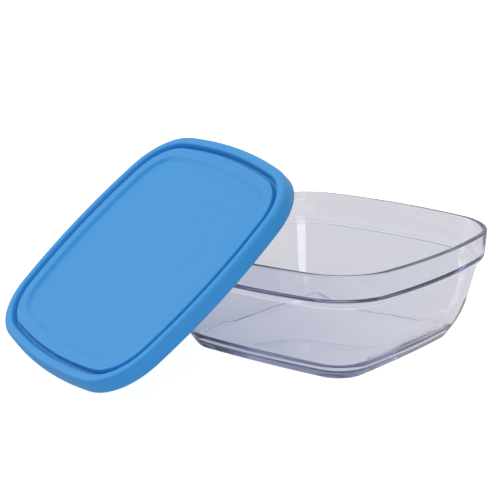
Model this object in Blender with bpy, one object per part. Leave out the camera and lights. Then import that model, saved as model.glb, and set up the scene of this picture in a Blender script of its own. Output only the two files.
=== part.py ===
"""Square glass storage dish with a soft plastic snap lid that leans on its rim.

Metres, +Z up. The origin is the centre of the dish's flat underside, and X and Y
are square to the dish's sides. The table is the plane Z = 0.

Both pieces follow one rounded-square outline with bulging sides, and each surface
is given by how far it is set in from that outline, and by its height.
"""

import math

import bmesh
import bpy
from mathutils import Matrix, Vector

MM = 0.001

# The shared outline, at the widest line that the lid covers.
PLAN_HALF = 100.0 * MM
PLAN_SIDE_RADIUS = 375.0 * MM
PLAN_CORNER_RADIUS = 45.0 * MM
SIDE_STEPS = 6
CORNER_STEPS = 7

# The dish: collar at the top, shoulder, tapering body, flat foot.
DISH_HEIGHT = 79.0 * MM
RIM_RADIUS = 1.85 * MM
COLLAR_TOP_INSET = 1.5 * MM
COLLAR_DRAFT = math.radians(4.0)
COLLAR_FOOT_Z = 62.5 * MM
SHOULDER_RADIUS = 9.5 * MM
SHOULDER_SLOPE = math.radians(60.0)
SHOULDER_FILLET = 0.6 * MM
BODY_DRAFT = math.radians(15.5)
BODY_BEND_Z = 30.0 * MM
BODY_BEND_RADIUS = 67.0 * MM
BODY_FOOT_DRAFT = math.radians(37.5)
FOOT_RADIUS = 4.0 * MM
BODY_TOP_INSET = 7.9 * MM
FOOT_INSET = 33.4 * MM
FOOT_SIDE_RADIUS = 1050.0 * MM
FOOT_CORNER_RADIUS = 18.0 * MM

# The inside of the dish.
MOUTH_DRAFT = math.radians(3.5)
LEDGE_TOP_Z = 62.9 * MM
LEDGE_RADIUS = 1.2 * MM
LEDGE_SLOPE = math.radians(60.0)
LEDGE_RUN = 2.8 * MM
LEDGE_EDGE_RADIUS = 2.5 * MM
CAVITY_BEND_Z = 32.0 * MM
CAVITY_BEND_RADIUS = 60.0 * MM
CAVITY_FOOT_DRAFT = math.radians(33.0)
CAVITY_FLOOR_FILLET = 18.0 * MM
FLOOR_THICKNESS = 6.5 * MM

# The lid, in its own frame: Z = 0 is the top of its edge bead.
SKIRT_INSET = -0.5 * MM
SKIRT_FLARE = 0.9 * MM
SKIRT_HEIGHT = 10.6 * MM
SKIRT_WALL = 1.6 * MM
SKIRT_LIP_FILLET = 0.45 * MM
BEAD_OUTER_FILLET = 3.0 * MM
BEAD_INNER_FILLET = 1.7 * MM
BEAD_TOP_WALL = 1.5 * MM
BEAD_INNER_INSET = 6.1 * MM
PLUG_OUTER_INSET = 5.45 * MM
PLUG_TAPER = 0.45 * MM
PLUG_DEPTH = 6.5 * MM
PLUG_FILLET = 1.7 * MM
PLUG_INNER_INSET = 11.6 * MM
GROOVE_DEPTH = 5.2 * MM
GROOVE_OUTER_INSET = 7.2 * MM
GROOVE_INNER_INSET = 9.7 * MM
GROOVE_FILLET = 0.9 * MM
BAND_DROP = 0.9 * MM
BAND_EDGE_INSET = 10.2 * MM
BAND_EDGE_FILLET = 0.8 * MM
BAND_WALL = 1.4 * MM
STEP_START_INSET = 18.0 * MM
STEP_END_INSET = 21.0 * MM
STEP_FILLET = 2.0 * MM
PANEL_DROP = 3.0 * MM
PANEL_WALL = 1.6 * MM
PANEL_INSET = 24.0 * MM
FILLET_STEPS = 2

# How the lid leans: its lower edge on the table, its underside on the dish's rim.
LID_TURN = math.radians(-20.4)
LID_TILT = math.radians(39.5)
LID_ROLL = math.radians(-0.5)
LID_SHIFT = -39.2 * MM
CONTACT_GAP = 0.3 * MM


def outline(half, side_radius, corner_radius):
    """Points round a square of four bulging sides joined by four corner arcs."""
    side_offset = side_radius - half
    reach = side_radius - corner_radius
    root = math.sqrt(2.0 * reach**2 - side_offset**2)
    corner = (root - side_offset) / 2.0
    sweep = math.atan2(corner, corner + side_offset)
    points = []
    for quarter in range(4):
        turn = Matrix.Rotation(quarter * math.pi / 2.0, 2)
        for step in range(SIDE_STEPS):
            angle = sweep * (2.0 * step / SIDE_STEPS - 1.0)
            x = side_radius * math.cos(angle) - side_offset
            y = side_radius * math.sin(angle)
            points.append(turn @ Vector((x, y)))
        for step in range(CORNER_STEPS):
            angle = sweep + (math.pi / 2.0 - 2.0 * sweep) * step / CORNER_STEPS
            x = corner + corner_radius * math.cos(angle)
            y = corner + corner_radius * math.sin(angle)
            points.append(turn @ Vector((x, y)))
    return points


def lid_ring(inset, z):
    """One ring of the lid: every ring is parallel to the shared outline."""
    ring = outline(PLAN_HALF - inset, PLAN_SIDE_RADIUS - inset, PLAN_CORNER_RADIUS - inset)
    return [Vector((x, y, z)) for x, y in ring]


def dish_ring(inset, z):
    """One ring of the dish: parallel in the collar, straighter sided towards the foot."""
    if inset <= BODY_TOP_INSET:
        return lid_ring(inset, z)
    morph = min(1.0, (inset - BODY_TOP_INSET) / (FOOT_INSET - BODY_TOP_INSET))
    top_bend = 1.0 / (PLAN_SIDE_RADIUS - BODY_TOP_INSET)
    bend = top_bend + (1.0 / FOOT_SIDE_RADIUS - top_bend) * morph
    top_corner = PLAN_CORNER_RADIUS - BODY_TOP_INSET
    corner = top_corner + (FOOT_CORNER_RADIUS - top_corner) * morph
    corner -= max(0.0, inset - FOOT_INSET)
    return [Vector((x, y, z)) for x, y in outline(PLAN_HALF - inset, 1.0 / bend, corner)]


def walk(path, length, slope):
    """Goes down and inwards in a straight line; slope is measured from the vertical."""
    inset, z = path[-1]
    path.append((inset + length * math.sin(slope), z - length * math.cos(slope)))


def walk_to_z(path, z, slope):
    """Goes down in a straight line as far as a height."""
    walk(path, (path[-1][1] - z) / math.cos(slope), slope)


def bend(path, radius, start, end, steps):
    """Goes down round an arc whose slope turns from start to end."""
    inset, z = path[-1]
    side = 1.0 if end > start else -1.0
    for step in range(1, steps + 1):
        slope = start + (end - start) * step / steps
        across = side * radius * (math.cos(start) - math.cos(slope))
        down = side * radius * (math.sin(slope) - math.sin(start))
        path.append((inset + across, z - down))


def dish_outside():
    """The outside of the dish from below the rim to the edge of the foot."""
    rim_z = DISH_HEIGHT - RIM_RADIUS
    path = [(COLLAR_TOP_INSET, rim_z)]
    walk_to_z(path, COLLAR_FOOT_Z, COLLAR_DRAFT)
    bend(path, SHOULDER_RADIUS, COLLAR_DRAFT, SHOULDER_SLOPE, 5)
    bend(path, SHOULDER_FILLET, SHOULDER_SLOPE, BODY_DRAFT, 3)
    walk_to_z(path, BODY_BEND_Z, BODY_DRAFT)
    bend(path, BODY_BEND_RADIUS, BODY_DRAFT, BODY_FOOT_DRAFT, 4)
    foot_drop = FOOT_RADIUS * (1.0 - math.sin(BODY_FOOT_DRAFT))
    walk_to_z(path, foot_drop, BODY_FOOT_DRAFT)
    bend(path, FOOT_RADIUS, BODY_FOOT_DRAFT, math.pi / 2.0, 4)
    return path


def dish_inside():
    """The inside of the dish from below the rim to the edge of the floor."""
    rim_z = DISH_HEIGHT - RIM_RADIUS
    path = [(COLLAR_TOP_INSET + 2.0 * RIM_RADIUS, rim_z)]
    walk_to_z(path, LEDGE_TOP_Z, MOUTH_DRAFT)
    bend(path, LEDGE_RADIUS, MOUTH_DRAFT, LEDGE_SLOPE, 3)
    walk(path, LEDGE_RUN, LEDGE_SLOPE)
    bend(path, LEDGE_EDGE_RADIUS, LEDGE_SLOPE, BODY_DRAFT, 3)
    walk_to_z(path, CAVITY_BEND_Z, BODY_DRAFT)
    bend(path, CAVITY_BEND_RADIUS, BODY_DRAFT, CAVITY_FOOT_DRAFT, 4)
    floor_drop = CAVITY_FLOOR_FILLET * (1.0 - math.sin(CAVITY_FOOT_DRAFT))
    walk_to_z(path, FLOOR_THICKNESS + floor_drop, CAVITY_FOOT_DRAFT)
    bend(path, CAVITY_FLOOR_FILLET, CAVITY_FOOT_DRAFT, math.pi / 2.0, 4)
    return path


def rim_top():
    """The fully rounded rim, from the outside over to the inside."""
    middle = COLLAR_TOP_INSET + RIM_RADIUS
    rim_z = DISH_HEIGHT - RIM_RADIUS
    steps = 8
    path = []
    for step in range(1, steps):
        angle = math.pi * step / steps
        path.append((middle - RIM_RADIUS * math.cos(angle), rim_z + RIM_RADIUS * math.sin(angle)))
    return path


def rounded(corners):
    """A path of (inset, z) corners, each rounded by the fillet radius given with it."""
    path = []
    for number, (inset, z, radius) in enumerate(corners):
        here = Vector((inset, z))
        if radius == 0.0:
            path.append((here.x, here.y))
            continue
        back = (Vector(corners[number - 1][:2]) - here).normalized()
        onward = (Vector(corners[number + 1][:2]) - here).normalized()
        half_angle = back.angle(onward) / 2.0
        centre = here + (back + onward).normalized() * radius / math.sin(half_angle)
        start = here + back * radius / math.tan(half_angle) - centre
        end = here + onward * radius / math.tan(half_angle) - centre
        sweep = start.angle_signed(end)
        for step in range(FILLET_STEPS + 1):
            turned = Matrix.Rotation(-sweep * step / FILLET_STEPS, 2) @ start
            path.append((centre.x + turned.x, centre.y + turned.y))
    return path


def lid_top():
    """The top of the lid, from its panel out to the bottom of its skirt."""
    corners = [
        (PANEL_INSET, -PANEL_DROP, 0.0),
        (STEP_END_INSET, -PANEL_DROP, STEP_FILLET),
        (STEP_START_INSET, -BAND_DROP, STEP_FILLET),
        (BAND_EDGE_INSET, -BAND_DROP, BAND_EDGE_FILLET),
        (GROOVE_INNER_INSET, -GROOVE_DEPTH, GROOVE_FILLET),
        (GROOVE_OUTER_INSET, -GROOVE_DEPTH, GROOVE_FILLET),
        (BEAD_INNER_INSET, 0.0, BEAD_INNER_FILLET),
        (SKIRT_INSET, 0.0, BEAD_OUTER_FILLET),
        (SKIRT_INSET - SKIRT_FLARE, -SKIRT_HEIGHT, SKIRT_LIP_FILLET),
        (SKIRT_INSET - SKIRT_FLARE + SKIRT_WALL, -SKIRT_HEIGHT, 0.0),
    ]
    return rounded(corners)[:-1]


def lid_underside():
    """The underside of the lid, from the bottom of its skirt in to its panel."""
    corners = [
        (SKIRT_INSET - SKIRT_FLARE, -SKIRT_HEIGHT, 0.0),
        (SKIRT_INSET - SKIRT_FLARE + SKIRT_WALL, -SKIRT_HEIGHT, SKIRT_LIP_FILLET),
        (SKIRT_INSET + SKIRT_WALL, -BEAD_TOP_WALL, PLUG_FILLET),
        (PLUG_OUTER_INSET, -BEAD_TOP_WALL, GROOVE_FILLET),
        (PLUG_OUTER_INSET + PLUG_TAPER, -PLUG_DEPTH, PLUG_FILLET),
        (PLUG_INNER_INSET - PLUG_TAPER, -PLUG_DEPTH, PLUG_FILLET),
        (PLUG_INNER_INSET, -BAND_DROP - BAND_WALL, GROOVE_FILLET),
        (STEP_START_INSET - BAND_WALL / 2.0, -BAND_DROP - BAND_WALL, STEP_FILLET),
        (STEP_END_INSET - BAND_WALL / 2.0, -PANEL_DROP - PANEL_WALL, STEP_FILLET),
        (PANEL_INSET, -PANEL_DROP - PANEL_WALL, 0.0),
    ]
    return rounded(corners)[1:]


def skin(name, rings):
    """A closed body through the rings, capped flat at the first and the last."""
    form = bmesh.new()
    rows = [[form.verts.new(point) for point in ring] for ring in rings]
    count = len(rows[0])
    for row, following in zip(rows, rows[1:]):
        for i in range(count):
            j = (i + 1) % count
            form.faces.new((row[i], row[j], following[j], following[i]))
    form.faces.new(list(reversed(rows[0])))
    form.faces.new(rows[-1])
    bmesh.ops.recalc_face_normals(form, faces=form.faces)
    mesh = bpy.data.meshes.new(name)
    form.to_mesh(mesh)
    form.free()
    mesh.shade_smooth()
    mesh.set_sharp_from_angle(angle=math.radians(50.0))
    piece = bpy.data.objects.new(name, mesh)
    bpy.context.scene.collection.objects.link(piece)
    return piece


def coat(piece, colour, roughness, transmission=0.0, ior=1.5):
    """Gives a piece its own Principled material."""
    material = bpy.data.materials.new(piece.name)
    material.use_nodes = True
    shader = material.node_tree.nodes["Principled BSDF"]
    shader.inputs["Base Color"].default_value = colour
    shader.inputs["Roughness"].default_value = roughness
    shader.inputs["Transmission Weight"].default_value = transmission
    shader.inputs["IOR"].default_value = ior
    piece.data.materials.append(material)


def leaning_pose(lid_rings, rim_middle):
    """The lid's rotation and place: on the table below, and against the dish above."""
    along = Vector((math.cos(LID_TURN), math.sin(LID_TURN), 0.0))
    inwards = Vector((-math.sin(LID_TURN), math.cos(LID_TURN), 0.0))
    climb = inwards * math.cos(LID_TILT) + Vector((0.0, 0.0, math.sin(LID_TILT)))
    normal = along.cross(climb)
    basis = Matrix((along, climb, normal)).transposed() @ Matrix.Rotation(LID_ROLL, 3, "Z")
    height = -min((basis @ point).z for ring in lid_rings for point in ring)
    touch = max(normal.dot(point) for point in rim_middle) + RIM_RADIUS + CONTACT_GAP
    touch += PANEL_DROP + PANEL_WALL
    reach = (touch - normal.z * height) / normal.dot(inwards)
    place = along * LID_SHIFT + inwards * reach + Vector((0.0, 0.0, height))
    return Matrix.Translation(place) @ basis.to_4x4()


for leftover in list(bpy.data.objects):
    bpy.data.objects.remove(leftover)

dish_path = list(reversed(dish_outside())) + rim_top() + dish_inside()
dish = skin("glass_dish", [dish_ring(inset, z) for inset, z in dish_path])
coat(dish, (0.80, 0.86, 0.92, 1.0), 0.02, transmission=1.0, ior=1.5)

lid_rings = [lid_ring(inset, z) for inset, z in lid_top() + lid_underside()]
lid = skin("lid", lid_rings)
coat(lid, (0.09, 0.35, 0.72, 1.0), 0.45)
rim_middle = dish_ring(COLLAR_TOP_INSET + RIM_RADIUS, DISH_HEIGHT - RIM_RADIUS)
lid.matrix_world = leaning_pose(lid_rings, rim_middle)
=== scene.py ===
# %% [markdown]
# # A square glass storage dish and its soft blue lid
# The real object has two pieces. A press shapes a gob of hot glass into a thick,
# square dish with a rounded rim, a collar and a shoulder, and toughens it. An
# injection mould makes the lid in one shot of soft plastic. The lid has been lifted
# off, and leans on a corner of the dish with one edge on the table.
#
# We load the engineering model first. It fixes every size, and our nicer meshes
# only take its place.

# %% Load the frame and keep its box
import math

import bmesh
import bpy
import numpy as np
from mathutils import Matrix, Vector


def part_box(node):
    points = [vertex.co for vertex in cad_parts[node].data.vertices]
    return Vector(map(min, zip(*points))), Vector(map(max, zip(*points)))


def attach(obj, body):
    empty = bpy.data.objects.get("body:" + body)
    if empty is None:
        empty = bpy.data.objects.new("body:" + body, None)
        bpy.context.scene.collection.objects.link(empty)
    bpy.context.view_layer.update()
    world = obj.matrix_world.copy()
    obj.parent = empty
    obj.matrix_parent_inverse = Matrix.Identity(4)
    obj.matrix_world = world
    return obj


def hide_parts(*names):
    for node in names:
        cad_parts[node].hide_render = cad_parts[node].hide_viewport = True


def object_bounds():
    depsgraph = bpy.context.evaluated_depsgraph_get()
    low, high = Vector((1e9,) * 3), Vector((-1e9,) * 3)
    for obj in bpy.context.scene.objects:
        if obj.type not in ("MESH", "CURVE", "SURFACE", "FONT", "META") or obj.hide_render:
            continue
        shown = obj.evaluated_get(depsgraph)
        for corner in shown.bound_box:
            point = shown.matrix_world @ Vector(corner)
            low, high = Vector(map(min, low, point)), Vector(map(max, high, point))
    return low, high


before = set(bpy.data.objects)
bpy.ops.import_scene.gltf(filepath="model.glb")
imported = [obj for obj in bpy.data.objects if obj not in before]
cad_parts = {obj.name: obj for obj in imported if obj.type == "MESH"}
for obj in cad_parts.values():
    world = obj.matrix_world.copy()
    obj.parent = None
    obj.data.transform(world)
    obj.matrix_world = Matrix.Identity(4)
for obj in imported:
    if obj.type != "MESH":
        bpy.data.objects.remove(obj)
frame_low, frame_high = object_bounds()
dish_low, dish_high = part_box("glass_dish")
lid_low, lid_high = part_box("lid")
MM = 0.001
print("frame box in mm:", [round(1000 * (b - a)) for a, b in zip(frame_low, frame_high)])

# %% [markdown]
# ## One outline for both pieces
# The lid fits the dish because both follow the same plan: four gently bulging sides
# joined by four corner arcs. A superellipse looks alike but its corners can't be
# matched to a radius, and a bevelled square has dead straight sides. Arcs that meet
# without a kink give the real plan, and a smaller copy is only the same arcs with
# smaller radii.

# %% The rounded square
COLLAR_TOP_INSET = 1.5 * MM
PLAN_HALF = dish_high[0] + COLLAR_TOP_INSET
PLAN_SIDE_RADIUS = 375.0 * MM
PLAN_CORNER_RADIUS = 45.0 * MM
SIDE_STEPS = 28
CORNER_STEPS = 24


def bulging_square(half, side_radius, corner_radius):
    """Points round a square whose sides bulge and whose corners are arcs."""
    side_offset = side_radius - half
    reach = side_radius - corner_radius
    corner = (math.sqrt(2.0 * reach**2 - side_offset**2) - side_offset) / 2.0
    sweep = math.atan2(corner, corner + side_offset)
    side = sweep * (2.0 * np.arange(SIDE_STEPS) / SIDE_STEPS - 1.0)
    turn = sweep + (math.pi / 2.0 - 2.0 * sweep) * np.arange(CORNER_STEPS) / CORNER_STEPS
    x = np.r_[side_radius * np.cos(side) - side_offset, corner + corner_radius * np.cos(turn)]
    y = np.r_[side_radius * np.sin(side), corner + corner_radius * np.sin(turn)]
    quarters = [(x, y), (-y, x), (-x, -y), (y, -x)]
    return np.concatenate([np.stack(quarter, axis=1) for quarter in quarters])


def parallel_ring(inset, z):
    """A level ring, set in from the shared plan by the same distance all round."""
    flat = bulging_square(PLAN_HALF - inset, PLAN_SIDE_RADIUS - inset, PLAN_CORNER_RADIUS - inset)
    return np.c_[flat, np.full(len(flat), z)]


print("points in a ring:", len(parallel_ring(0.0, 0.0)))

# %% [markdown]
# ## Drawing a wall as a walk
# A pressed wall is a chain of straight drafts and arcs, so we write it as a walk:
# go down this far at this slope, then bend this much with this radius. Each point is
# an inset and a height. A Bezier curve with a bevel could do it too, but then the
# radii that a mould maker would quote are lost.


# %% Straight runs, bends and fillets
def go_down_to(path, z, slope):
    """A straight run down to a height; the slope is measured from the vertical."""
    inset, start = path[-1]
    path.append((inset + (start - z) * math.tan(slope), z))


def go_along(path, length, slope):
    """A straight run of a given length."""
    inset, z = path[-1]
    path.append((inset + length * math.sin(slope), z - length * math.cos(slope)))


def bend(path, radius, start, end, steps=10):
    """An arc that turns from one slope to another while it goes down."""
    inset, z = path[-1]
    side = 1.0 if end > start else -1.0
    for slope in np.linspace(start, end, steps + 1)[1:]:
        across = side * radius * (math.cos(start) - math.cos(slope))
        down = side * radius * (math.sin(slope) - math.sin(start))
        path.append((inset + across, z - down))


def fillet_corners(corners, steps=8):
    """A path of (inset, z, fillet radius) corners with every fillet drawn as an arc."""
    path = []
    for number, (inset, z, radius) in enumerate(corners):
        here = Vector((inset, z))
        if radius == 0.0:
            path.append((inset, z))
            continue
        back = (Vector(corners[number - 1][:2]) - here).normalized()
        onward = (Vector(corners[number + 1][:2]) - here).normalized()
        half_angle = back.angle(onward) / 2.0
        centre = here + (back + onward).normalized() * radius / math.sin(half_angle)
        start = here + back * radius / math.tan(half_angle) - centre
        end = here + onward * radius / math.tan(half_angle) - centre
        sweep = start.angle_signed(end)
        for step in range(steps + 1):
            turned = Matrix.Rotation(-sweep * step / steps, 2) @ start
            path.append((centre.x + turned.x, centre.y + turned.y))
    return path


quarter_bend = [(0.0, 0.0)]
bend(quarter_bend, 10.0 * MM, 0.0, math.radians(90.0))
print("a quarter bend of 10 mm goes in and down, mm:", [round(v / MM, 1) for v in quarter_bend[-1]])

# %% [markdown]
# ## Skinning the rings
# Every ring has the same number of points, so neighbouring rings join with quads.
# The first and last ring get one flat face each, and the body is closed. A lathe
# (the Screw modifier) can't be used, because the plan isn't round.


# %% Skin rings into a closed body
def skin(name, rings):
    """A closed, smooth body through level rings, capped at both ends."""
    form = bmesh.new()
    rows = [[form.verts.new(point) for point in ring] for ring in rings]
    count = len(rows[0])
    for row, following in zip(rows, rows[1:]):
        for i in range(count):
            j = (i + 1) % count
            form.faces.new((row[i], row[j], following[j], following[i]))
    form.faces.new(list(reversed(rows[0])))
    form.faces.new(rows[-1])
    bmesh.ops.recalc_face_normals(form, faces=form.faces)
    mesh = bpy.data.meshes.new(name)
    form.to_mesh(mesh)
    form.free()
    mesh.shade_smooth()
    piece = bpy.data.objects.new(name, mesh)
    bpy.context.scene.collection.objects.link(piece)
    print(name, "faces:", len(mesh.polygons))
    return piece


# %% [markdown]
# ## The glass dish
# Outside: a collar that leans in a little, a rounded shoulder, and a wall that
# curves under to a flat foot. Inside: the same story with a step where the collar
# ends, a deep fillet and a flat floor. The glass is 3.7 mm thick at the rim and
# thicker at the foot, and that uneven thickness draws the dark and bright lines, so
# it has to be real geometry. Lines painted on a thin shell would be wrong from every
# other side.

# %% The dish's two walls
DISH_HEIGHT = dish_high[2]
RIM_RADIUS = 1.85 * MM
COLLAR_DRAFT = math.radians(4.0)
COLLAR_FOOT_Z = 62.5 * MM
SHOULDER_RADIUS = 9.5 * MM
SHOULDER_FILLET = 0.6 * MM
BODY_TOP_INSET = 7.9 * MM
BODY_DRAFT = math.radians(15.5)
BODY_BEND_Z = 30.0 * MM
BODY_BEND_RADIUS = 67.0 * MM
BODY_FOOT_DRAFT = math.radians(37.5)
FOOT_RADIUS = 4.0 * MM
FOOT_INSET = 33.4 * MM
FOOT_SIDE_RADIUS = 1050.0 * MM
FOOT_CORNER_RADIUS = 18.0 * MM
MOUTH_DRAFT = math.radians(3.5)
LEDGE_TOP_Z = 62.9 * MM
LEDGE_TOP_RADIUS = 1.2 * MM
LEDGE_RUN = 2.8 * MM
LEDGE_EDGE_RADIUS = 2.5 * MM
CAVITY_BEND_Z = 32.0 * MM
CAVITY_BEND_RADIUS = 60.0 * MM
CAVITY_FOOT_DRAFT = math.radians(33.0)
FLOOR_FILLET = 18.0 * MM
FLOOR_THICKNESS = 6.5 * MM
STEEP = math.radians(60.0)
LEVEL = math.radians(90.0)
CAP_RUN = 1.5 * MM


def dish_outside():
    """From just under the rim down to the edge of the flat foot."""
    path = [(COLLAR_TOP_INSET, DISH_HEIGHT - RIM_RADIUS)]
    go_down_to(path, COLLAR_FOOT_Z, COLLAR_DRAFT)
    bend(path, SHOULDER_RADIUS, COLLAR_DRAFT, STEEP, 16)
    bend(path, SHOULDER_FILLET, STEEP, BODY_DRAFT)
    go_down_to(path, BODY_BEND_Z, BODY_DRAFT)
    bend(path, BODY_BEND_RADIUS, BODY_DRAFT, BODY_FOOT_DRAFT, 16)
    go_down_to(path, FOOT_RADIUS * (1.0 - math.sin(BODY_FOOT_DRAFT)), BODY_FOOT_DRAFT)
    bend(path, FOOT_RADIUS, BODY_FOOT_DRAFT, LEVEL)
    go_along(path, CAP_RUN, LEVEL)
    return path


def dish_inside():
    """From just under the rim down to the edge of the flat floor."""
    path = [(COLLAR_TOP_INSET + 2.0 * RIM_RADIUS, DISH_HEIGHT - RIM_RADIUS)]
    go_down_to(path, LEDGE_TOP_Z, MOUTH_DRAFT)
    bend(path, LEDGE_TOP_RADIUS, MOUTH_DRAFT, STEEP)
    go_along(path, LEDGE_RUN, STEEP)
    bend(path, LEDGE_EDGE_RADIUS, STEEP, BODY_DRAFT)
    go_down_to(path, CAVITY_BEND_Z, BODY_DRAFT)
    bend(path, CAVITY_BEND_RADIUS, BODY_DRAFT, CAVITY_FOOT_DRAFT, 16)
    fillet_top = FLOOR_THICKNESS + FLOOR_FILLET * (1.0 - math.sin(CAVITY_FOOT_DRAFT))
    go_down_to(path, fillet_top, CAVITY_FOOT_DRAFT)
    bend(path, FLOOR_FILLET, CAVITY_FOOT_DRAFT, LEVEL, 20)
    go_along(path, CAP_RUN, LEVEL)
    return path


outside = list(reversed(dish_outside()))
inside = dish_inside()
print("inset of the foot in mm:", round(outside[0][0] / MM, 1))
print("inset of the floor in mm:", round(inside[-1][0] / MM, 1))

# %% [markdown]
# ## The rim and the rings
# The rim was melted smooth by a flame, so it is a plain half circle. Below the
# collar the sides get straighter and the corners tighter towards the foot, so a ring
# isn't parallel to the plan any more: we blend the two sets of radii by depth.

# %% The rim and the dish's rings
def rim_over(steps=16):
    """The fire-polished rim, a half circle from the outside to the inside."""
    middle = COLLAR_TOP_INSET + RIM_RADIUS
    angles = np.linspace(0.0, math.pi, steps + 1)[1:-1]
    rim_z = DISH_HEIGHT - RIM_RADIUS
    return [(middle - RIM_RADIUS * math.cos(a), rim_z + RIM_RADIUS * math.sin(a)) for a in angles]


def dish_ring(inset, z):
    """Parallel to the plan in the collar, and straighter sided towards the foot."""
    if inset <= BODY_TOP_INSET:
        return parallel_ring(inset, z)
    morph = min(1.0, (inset - BODY_TOP_INSET) / (FOOT_INSET - BODY_TOP_INSET))
    top_bulge = 1.0 / (PLAN_SIDE_RADIUS - BODY_TOP_INSET)
    bulge = top_bulge + (1.0 / FOOT_SIDE_RADIUS - top_bulge) * morph
    top_corner = PLAN_CORNER_RADIUS - BODY_TOP_INSET
    corner = top_corner + (FOOT_CORNER_RADIUS - top_corner) * morph
    corner -= max(0.0, inset - FOOT_INSET)
    flat = bulging_square(PLAN_HALF - inset, 1.0 / bulge, corner)
    return np.c_[flat, np.full(len(flat), z)]


# %% [markdown]
# ## Skinning the dish
# The walk goes up the outside, over the rim and down the inside, so one skin makes
# both walls. The flat foot and the flat floor are its two caps. A closed body with a
# real thickness is what lets light bend twice on its way through.

# %% Build the dish
dish_path = outside + rim_over() + inside
dish = skin("clear_glass_dish", [dish_ring(inset, z) for inset, z in dish_path])
print("wall at the rim in mm:", round(2000 * RIM_RADIUS, 2))

# %% [markdown]
# ## The lid
# One sheet of soft plastic, 1.3 to 1.6 mm thick, folded up and down: a flat panel, a
# shallow step up to a band, a narrow groove that plugs the dish's mouth, a rounded
# bead that sits over the glass rim, and a skirt that grips the collar. We draw its
# top and its underside as two chains of filleted corners. A Solidify modifier on one
# sheet would be quicker, but it can't give the plug its own taper.

# %% The lid's top and underside
SKIRT_INSET = -0.5 * MM
SKIRT_FLARE = 0.7 * MM
SKIRT_FOOT = SKIRT_INSET - SKIRT_FLARE
SKIRT_WALL = 1.6 * MM
SKIRT_HEIGHT = 10.6 * MM
LIP_FILLET = 0.45 * MM
BEAD_FILLET = 3.0 * MM
BEAD_WALL = 1.5 * MM
PLUG_DEPTH = 6.5 * MM
PLUG_FILLET = 1.7 * MM
GROOVE_DEPTH = 5.2 * MM
GROOVE_FILLET = 0.9 * MM
BAND_DROP = 0.9 * MM
BAND_FILLET = 0.8 * MM
BAND_UNDERSIDE = BAND_DROP + 1.4 * MM
PANEL_DROP = 3.0 * MM
PANEL_UNDERSIDE = PANEL_DROP + 1.6 * MM
PANEL_INSET = 24.0 * MM
STEP_FILLET = 2.0 * MM

# Corners as (inset, height, fillet), from the panel out to the skirt's lip.
lid_top = fillet_corners(
    [
        (PANEL_INSET, -PANEL_DROP, 0.0),
        (21.0 * MM, -PANEL_DROP, STEP_FILLET),
        (18.0 * MM, -BAND_DROP, STEP_FILLET),
        (10.2 * MM, -BAND_DROP, BAND_FILLET),
        (9.7 * MM, -GROOVE_DEPTH, GROOVE_FILLET),
        (7.2 * MM, -GROOVE_DEPTH, GROOVE_FILLET),
        (6.1 * MM, 0.0, PLUG_FILLET),
        (SKIRT_INSET, 0.0, BEAD_FILLET),
        (SKIRT_FOOT, -SKIRT_HEIGHT, LIP_FILLET),
        (SKIRT_FOOT + SKIRT_WALL, -SKIRT_HEIGHT, 0.0),
    ]
)[:-1]
# The same on the underside, from the lip back in to the panel.
lid_underside = fillet_corners(
    [
        (SKIRT_FOOT, -SKIRT_HEIGHT, 0.0),
        (SKIRT_FOOT + SKIRT_WALL, -SKIRT_HEIGHT, LIP_FILLET),
        (SKIRT_INSET + SKIRT_WALL, -BEAD_WALL, PLUG_FILLET),
        (5.45 * MM, -BEAD_WALL, GROOVE_FILLET),
        (5.9 * MM, -PLUG_DEPTH, PLUG_FILLET),
        (11.15 * MM, -PLUG_DEPTH, PLUG_FILLET),
        (11.6 * MM, -BAND_UNDERSIDE, GROOVE_FILLET),
        (17.3 * MM, -BAND_UNDERSIDE, STEP_FILLET),
        (20.3 * MM, -PANEL_UNDERSIDE, STEP_FILLET),
        (PANEL_INSET, -PANEL_UNDERSIDE, 0.0),
    ]
)[1:]
lid = skin("soft_blue_lid", [parallel_ring(inset, z) for inset, z in lid_top + lid_underside])

# %% [markdown]
# ## Leaning the lid
# The lid stands on one edge and rests on the rim. We turn it with three plain angles
# and then slide it until its box sits on the box of the engineering lid, so both lie
# in the same place without copying any position by hand.

# %% Turn the lid and set it on its place
LID_TURN = math.radians(-20.4)
LID_TILT = math.radians(39.5)
LID_ROLL = math.radians(-0.5)

lean = (
    Matrix.Rotation(LID_TURN, 4, "Z")
    @ Matrix.Rotation(LID_TILT, 4, "X")
    @ Matrix.Rotation(LID_ROLL, 4, "Z")
)
leaning = np.array([lean @ vertex.co for vertex in lid.data.vertices])
middle = (leaning.min(axis=0) + leaning.max(axis=0)) / 2.0
lid.data.transform(Matrix.Translation((lid_low + lid_high) / 2.0 - Vector(middle)) @ lean)
lid_size_gap = (leaning.max(axis=0) - leaning.min(axis=0)) - np.array(lid_high - lid_low)
print("lid box against the frame's, mm:", [round(1000 * float(v), 2) for v in lid_size_gap])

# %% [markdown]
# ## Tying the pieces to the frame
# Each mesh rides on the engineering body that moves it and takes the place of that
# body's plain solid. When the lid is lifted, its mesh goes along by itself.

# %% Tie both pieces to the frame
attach(dish, "dish")
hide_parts("glass_dish")
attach(lid, "lid")
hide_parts("lid")
print("tied to the frame:", dish.name, "and", lid.name)

# %% [markdown]
# ## Node helpers
# Both finishes are grown from noise, a little arithmetic and a bump, so we write
# those three once. The noise reads a piece's own coordinates, and stays put on the
# surface when the piece moves.


# %% Noise, sums and bumps
def add_noise(nodes, links, scale, detail):
    """Noise laid over a piece's own coordinates."""
    place = nodes.new("ShaderNodeTexCoord")
    noise = nodes.new("ShaderNodeTexNoise")
    noise.inputs["Scale"].default_value = scale
    noise.inputs["Detail"].default_value = detail
    links.new(place.outputs["Object"], noise.inputs["Vector"])
    return noise


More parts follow.
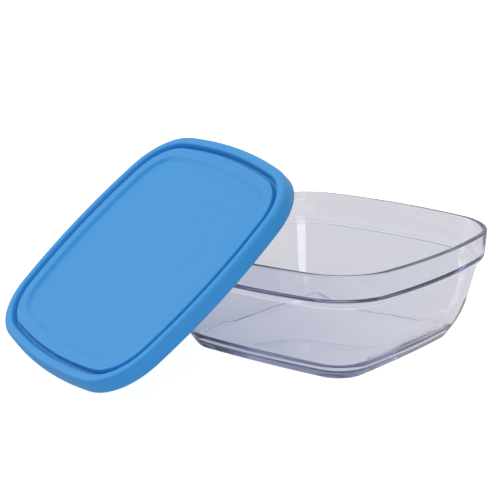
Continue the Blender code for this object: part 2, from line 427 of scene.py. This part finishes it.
def add_sum(nodes, operation, number=1.0):
    """A Math node whose second input is a plain number."""
    node = nodes.new("ShaderNodeMath")
    node.operation = operation
    node.inputs[1].default_value = number
    return node


def add_bump(nodes, links, height, strength, depth):
    """Turns a height into the normal of the material's shader."""
    bump = nodes.new("ShaderNodeBump")
    bump.inputs["Strength"].default_value = strength
    bump.inputs["Distance"].default_value = depth
    links.new(height, bump.inputs["Height"])
    links.new(bump.outputs["Normal"], nodes["Principled BSDF"].inputs["Normal"])


print("node helpers:", [helper.__name__ for helper in (add_noise, add_sum, add_bump)])

# %% [markdown]
# ## Handling marks, shared by both finishes
# Glass and plastic both carry a thin uneven film from hands and drying cloths. It is
# one effect, so it is one node group with a size and an amount, used twice with
# different values. A painted map would do for one piece only.


# %% The handling film group
def build_handling_film():
    """A shader node group that returns a soft mask of smudges."""
    group = bpy.data.node_groups.new("handling_film", "ShaderNodeTree")
    for name, default in (("Size", 20.0), ("Amount", 1.0)):
        socket = group.interface.new_socket(name, in_out="INPUT", socket_type="NodeSocketFloat")
        socket.default_value = default
    group.interface.new_socket("Mask", in_out="OUTPUT", socket_type="NodeSocketFloat")
    nodes, links = group.nodes, group.links
    entry = nodes.new("NodeGroupInput")
    leave = nodes.new("NodeGroupOutput")
    smudge = add_noise(nodes, links, 20.0, 4.0)
    smudge.inputs["Distortion"].default_value = 0.6
    contrast = nodes.new("ShaderNodeMapRange")
    contrast.inputs["From Min"].default_value = 0.42
    contrast.inputs["From Max"].default_value = 0.72
    amount = add_sum(nodes, "MULTIPLY")
    links.new(entry.outputs["Size"], smudge.inputs["Scale"])
    links.new(smudge.outputs["Fac"], contrast.inputs["Value"])
    links.new(contrast.outputs["Result"], amount.inputs[0])
    links.new(entry.outputs["Amount"], amount.inputs[1])
    links.new(amount.outputs["Value"], leave.inputs["Mask"])
    return group


def add_film(nodes, size, amount):
    """Places the film group in a material."""
    film = nodes.new("ShaderNodeGroup")
    film.node_tree = handling_film
    film.inputs["Size"].default_value = size
    film.inputs["Amount"].default_value = amount
    return film


handling_film = build_handling_film()
print("film group sockets:", [item.name for item in handling_film.interface.items_tree])

# %% [markdown]
# ## Clear pressed glass
# The shader is one Principled BSDF with full transmission. Real pressed glass has
# three more things. It swallows a little more red than blue, which only shows where
# the path is long, at the rim and the foot: that is a Volume Absorption. Its skin is
# never quite flat, because it cooled against metal: that is a faint, broad bump. And
# it is a touch less sharp where it was handled: that is the film on the roughness.

# %% The glass material
def make_glass():
    """Clear glass: full transmission, absorption inside, a broad bump and the film."""
    material = bpy.data.materials.new("clear_pressed_glass")
    material.use_nodes = True
    nodes, links = material.node_tree.nodes, material.node_tree.links
    shader = nodes["Principled BSDF"]
    shader.inputs["Base Color"].default_value = (0.97, 0.975, 1.0, 1.0)
    shader.inputs["Transmission Weight"].default_value = 1.0
    shader.inputs["IOR"].default_value = 1.5
    film = add_film(nodes, 14.0, 0.02)
    links.new(film.outputs["Mask"], shader.inputs["Roughness"])
    wave = add_noise(nodes, links, 17.0, 1.0)
    add_bump(nodes, links, wave.outputs["Fac"], 0.25, 2.4 * MM)
    absorb = nodes.new("ShaderNodeVolumeAbsorption")
    absorb.inputs["Color"].default_value = (0.09, 0.165, 0.46, 1.0)
    absorb.inputs["Density"].default_value = 8.8
    links.new(absorb.outputs["Volume"], nodes["Material Output"].inputs["Volume"])
    print(material.name, "nodes:", len(nodes))
    return material


dish.data.materials.append(make_glass())

# %% [markdown]
# ## Soft moulded plastic
# The lid is a satin polyethylene: one even blue, slightly see-through in its depth,
# so light bleeds round its edges. Subsurface scattering does that bleeding. The mould
# left a fine grain, which we add as a small bump, with broader, much fainter dips
# where the sheet shrank as it cooled.

# %% The plastic material
def make_plastic():
    """Satin blue plastic with a fine mould grain and faint shrink dips."""
    material = bpy.data.materials.new("soft_blue_plastic")
    material.use_nodes = True
    nodes, links = material.node_tree.nodes, material.node_tree.links
    shader = nodes["Principled BSDF"]
    cloud = add_noise(nodes, links, 9.0, 3.0)
    tint = nodes.new("ShaderNodeMix")
    tint.data_type = "RGBA"
    tint.inputs["A"].default_value = (0.033, 0.298, 0.640, 1.0)
    tint.inputs["B"].default_value = (0.038, 0.316, 0.667, 1.0)
    links.new(cloud.outputs["Fac"], tint.inputs["Factor"])
    links.new(tint.outputs["Result"], shader.inputs["Base Color"])
    film = add_film(nodes, 11.0, 0.10)
    rough = add_sum(nodes, "ADD", 0.42)
    links.new(film.outputs["Mask"], rough.inputs[0])
    links.new(rough.outputs["Value"], shader.inputs["Roughness"])
    grain = add_noise(nodes, links, 1400.0, 2.0)
    dips = add_noise(nodes, links, 16.0, 1.0)
    heights = add_sum(nodes, "MULTIPLY_ADD", 6.0)
    links.new(dips.outputs["Fac"], heights.inputs[0])
    links.new(grain.outputs["Fac"], heights.inputs[2])
    add_bump(nodes, links, heights.outputs["Value"], 0.20, 0.06 * MM)
    shader.inputs["IOR"].default_value = 1.5
    shader.inputs["Specular IOR Level"].default_value = 0.40
    shader.inputs["Subsurface Weight"].default_value = 0.15
    shader.inputs["Subsurface Radius"].default_value = (0.2, 0.5, 1.0)
    shader.inputs["Subsurface Scale"].default_value = 2.0 * MM
    print(material.name, "nodes:", len(nodes))
    return material


lid.data.materials.append(make_plastic())

# %% [markdown]
# ## The table
# Clear glass has no colour of its own: it shows what is behind it and what is round
# it. So the table is white to the eye, but the light that goes through the glass
# meets a calmer grey, as it would in front of a studio sweep. A Light Path node
# tells the two kinds of ray apart. Near the lid the grey is painted deeper and bluer.
# That is a painted shadow of the lid, which hides the table from the light there, and
# painted blue light bounced off the lid. Rays that are trapped in the rim, the shoulder
# and the foot come out tinted, and draw the dark outlines of clear glass.


# %% The table
TABLE_SIZE = 12.0
TABLE_GAP = 0.2 * MM
LID_SHADE_REACH = 300.0 * MM


def split_by_ray(nodes, links, seen, met, target):
    """Shows one shader to the camera and another one to every other ray."""
    path = nodes.new("ShaderNodeLightPath")
    mix = nodes.new("ShaderNodeMixShader")
    links.new(path.outputs["Is Camera Ray"], mix.inputs["Fac"])
    links.new(met, mix.inputs[1])
    links.new(seen, mix.inputs[2])
    links.new(mix.outputs["Shader"], target)


def white_top(nodes, links):
    """What the camera sees: a bright top that still takes a little shadow."""
    glow = nodes.new("ShaderNodeEmission")
    glow.inputs["Color"].default_value = (1.0, 1.0, 1.0, 1.0)
    glow.inputs["Strength"].default_value = 0.90
    matte = nodes.new("ShaderNodeBsdfDiffuse")
    matte.inputs["Color"].default_value = (0.4, 0.4, 0.4, 1.0)
    both = nodes.new("ShaderNodeAddShader")
    links.new(glow.outputs["Emission"], both.inputs[0])
    links.new(matte.outputs["BSDF"], both.inputs[1])
    return both.outputs["Shader"]


def grey_sweep(nodes, links):
    """What the glass sees: a calm grey, painted deeper and bluer towards the lid as its shadow and
    its blue bounce light.
    """
    place = nodes.new("ShaderNodeTexCoord")
    from_lid = nodes.new("ShaderNodeVectorMath")
    from_lid.operation = "DISTANCE"
    from_lid.inputs[1].default_value = (1.2 * dish_low.x, 1.2 * dish_low.y, 0.0)
    links.new(place.outputs["Object"], from_lid.inputs[0])
    shade = nodes.new("ShaderNodeMapRange")
    shade.interpolation_type = "SMOOTHSTEP"
    shade.inputs["From Min"].default_value = 0.1 * LID_SHADE_REACH
    shade.inputs["From Max"].default_value = LID_SHADE_REACH
    links.new(from_lid.outputs["Value"], shade.inputs["Value"])
    path = nodes.new("ShaderNodeLightPath")
    open_table = nodes.new("ShaderNodeMath")
    open_table.operation = "MAXIMUM"
    links.new(shade.outputs["Result"], open_table.inputs[0])
    links.new(path.outputs["Is Diffuse Ray"], open_table.inputs[1])
    # Painted shade: colour A is a painted shadow of the lid with painted blue bounce light from it,
    # and B is the open table.
    painted_shade_tone = nodes.new("ShaderNodeMix")
    painted_shade_tone.data_type = "RGBA"
    painted_shade_tone.inputs["A"].default_value = (0.38, 0.42, 0.54, 1.0)
    painted_shade_tone.inputs["B"].default_value = (0.735, 0.725, 0.75, 1.0)
    links.new(open_table.outputs["Value"], painted_shade_tone.inputs["Factor"])
    sweep = nodes.new("ShaderNodeEmission")
    links.new(painted_shade_tone.outputs["Result"], sweep.inputs["Color"])
    return sweep.outputs["Emission"]


def make_table_top():
    """Pale table: white to the eye, grey to the light that the glass bends."""
    material = bpy.data.materials.new("pale_table")
    material.use_nodes = True
    nodes, links = material.node_tree.nodes, material.node_tree.links
    nodes.remove(nodes["Principled BSDF"])
    target = nodes["Material Output"].inputs["Surface"]
    split_by_ray(nodes, links, white_top(nodes, links), grey_sweep(nodes, links), target)
    return material


bpy.ops.mesh.primitive_plane_add(size=TABLE_SIZE, location=(0.0, 0.0, -TABLE_GAP))
table = bpy.context.active_object
table.name = "pale_floor"
table.data.materials.append(make_table_top())
print("table width in m:", TABLE_SIZE)

# %% [markdown]
# ## The room
# The room is never seen directly, but the glass and the plastic reflect it. It is one
# smooth gradient from dark in front to pale above and behind. An environment picture
# would do it too, but its windows would show up in the glass.

# %% The room's gradient
PALE_SIDE = (-0.30, 0.38, 0.75)
PALE_SHARE = 0.38


def make_room():
    """White to the camera, and a gradient along one direction to every other ray."""
    world = bpy.data.worlds.new("studio_room")
    bpy.context.scene.world = world
    world.use_nodes = True
    nodes, links = world.node_tree.nodes, world.node_tree.links
    white = nodes["Background"]
    white.inputs["Color"].default_value = (1.0, 1.0, 1.0, 1.0)
    room = nodes.new("ShaderNodeBackground")
    place = nodes.new("ShaderNodeTexCoord")
    towards_light = nodes.new("ShaderNodeVectorMath")
    towards_light.operation = "DOT_PRODUCT"
    towards_light.inputs[1].default_value = PALE_SIDE
    lift = add_sum(nodes, "ADD", PALE_SHARE)
    ramp = nodes.new("ShaderNodeValToRGB")
    ramp.color_ramp.elements[0].color = (0.030, 0.036, 0.075, 1.0)
    ramp.color_ramp.elements[1].color = (0.78, 0.78, 0.81, 1.0)
    links.new(place.outputs["Generated"], towards_light.inputs[0])
    links.new(towards_light.outputs["Value"], lift.inputs[0])
    links.new(lift.outputs["Value"], ramp.inputs["Fac"])
    links.new(ramp.outputs["Color"], room.inputs["Color"])
    target = nodes["World Output"].inputs["Surface"]
    split_by_ray(nodes, links, white.outputs["Background"], room.outputs["Background"], target)
    print("room:", world.name, "nodes:", len(nodes))


make_room()

# %% [markdown]
# ## Soft boxes
# Four big area lights: a key above and a low blue fill that only the lid and the
# table feel, a tall box at the left, and a cool fill from the front. The last two
# also draw the bright streaks in the glass. Big lights give soft edges. A ring of
# small lamps would be simpler to place, but every lamp would show as a hard dot in
# the dish.

# %% Lights
middle_of_both = (frame_low + frame_high) / 2.0
WHITE = (1.0, 1.0, 1.0)
COOL = (0.84, 0.89, 1.0)
BLUE = (0.22, 0.55, 1.0)


def soft_box(name, shift, size, power, colour, in_glass):
    """A hidden area light aimed at the object, which may be kept out of the glass."""
    data = bpy.data.lights.new(name, "AREA")
    data.shape = "RECTANGLE"
    data.size, data.size_y = size
    data.energy = power
    data.color = colour
    light = bpy.data.objects.new(name, data)
    light.location = middle_of_both + Vector(shift)
    light.rotation_euler = (-Vector(shift)).to_track_quat("-Z", "Y").to_euler()
    light.visible_camera = False
    light.visible_glossy = in_glass
    light.visible_transmission = in_glass
    bpy.context.scene.collection.objects.link(light)


soft_box("key_above", (-0.75, 0.05, 1.4), (0.9, 0.9), 6.5, WHITE, False)
soft_box("left_box", (-1.5, -0.5, 0.7), (0.35, 1.4), 5.0, WHITE, True)
soft_box("front_fill", (1.62, -1.25, 0.7), (0.8, 1.2), 9.5, COOL, True)
soft_box("skirt_fill", (0.55, -1.60, 0.05), (0.9, 0.5), 6.0, BLUE, False)

# %% [markdown]
# ## The camera
# A long lens a good metre away, a little above the rim, looking at the corner of
# the dish. Its place follows from an azimuth, an elevation and a distance to a point
# over the table, so the view can be changed by turning one number. Light needs many
# bounces here: with only a few, the rays that run inside the rim are cut off, and its
# blue-grey lines turn brown.

# %% Camera
CAMERA_AZIMUTH = math.radians(38.205)
CAMERA_ELEVATION = math.radians(15.454)
CAMERA_ROLL = math.radians(-0.288)
CAMERA_DISTANCE = 1.2605
CAMERA_LENS = 128.49
CAMERA_AIM = Vector((-0.04997, -0.0182, 0.06006))
LIGHT_BOUNCES = 24

camera = bpy.data.objects.new("camera", bpy.data.cameras.new("camera"))
bpy.context.scene.collection.objects.link(camera)
level = math.cos(CAMERA_ELEVATION)
towards = Vector(
    (
        math.sin(CAMERA_AZIMUTH) * level,
        -math.cos(CAMERA_AZIMUTH) * level,
        math.sin(CAMERA_ELEVATION),
    )
)
camera.location = CAMERA_AIM + towards * CAMERA_DISTANCE
camera.rotation_mode = "QUATERNION"
camera.rotation_quaternion = (-towards).to_track_quat("-Z", "Y") @ Matrix.Rotation(
    CAMERA_ROLL, 3, "Z"
).to_quaternion()
camera.data.sensor_width = 36.0
camera.data.lens = CAMERA_LENS
camera.data.clip_start = 0.05
bpy.context.scene.camera = camera
bpy.context.scene.view_settings.view_transform = "Standard"
cycles = bpy.context.scene.cycles
cycles.max_bounces = LIGHT_BOUNCES
cycles.transmission_bounces = LIGHT_BOUNCES
cycles.glossy_bounces = LIGHT_BOUNCES
print("camera at:", [round(v, 3) for v in camera.location])

# %% [markdown]
# ## Finishing
# Last, we bring the scene up to date. The shown pieces stay inside the box from the
# start, so anyone who plans with the engineering sizes can trust them.

# %% Update the scene and finish
bpy.context.view_layer.update()
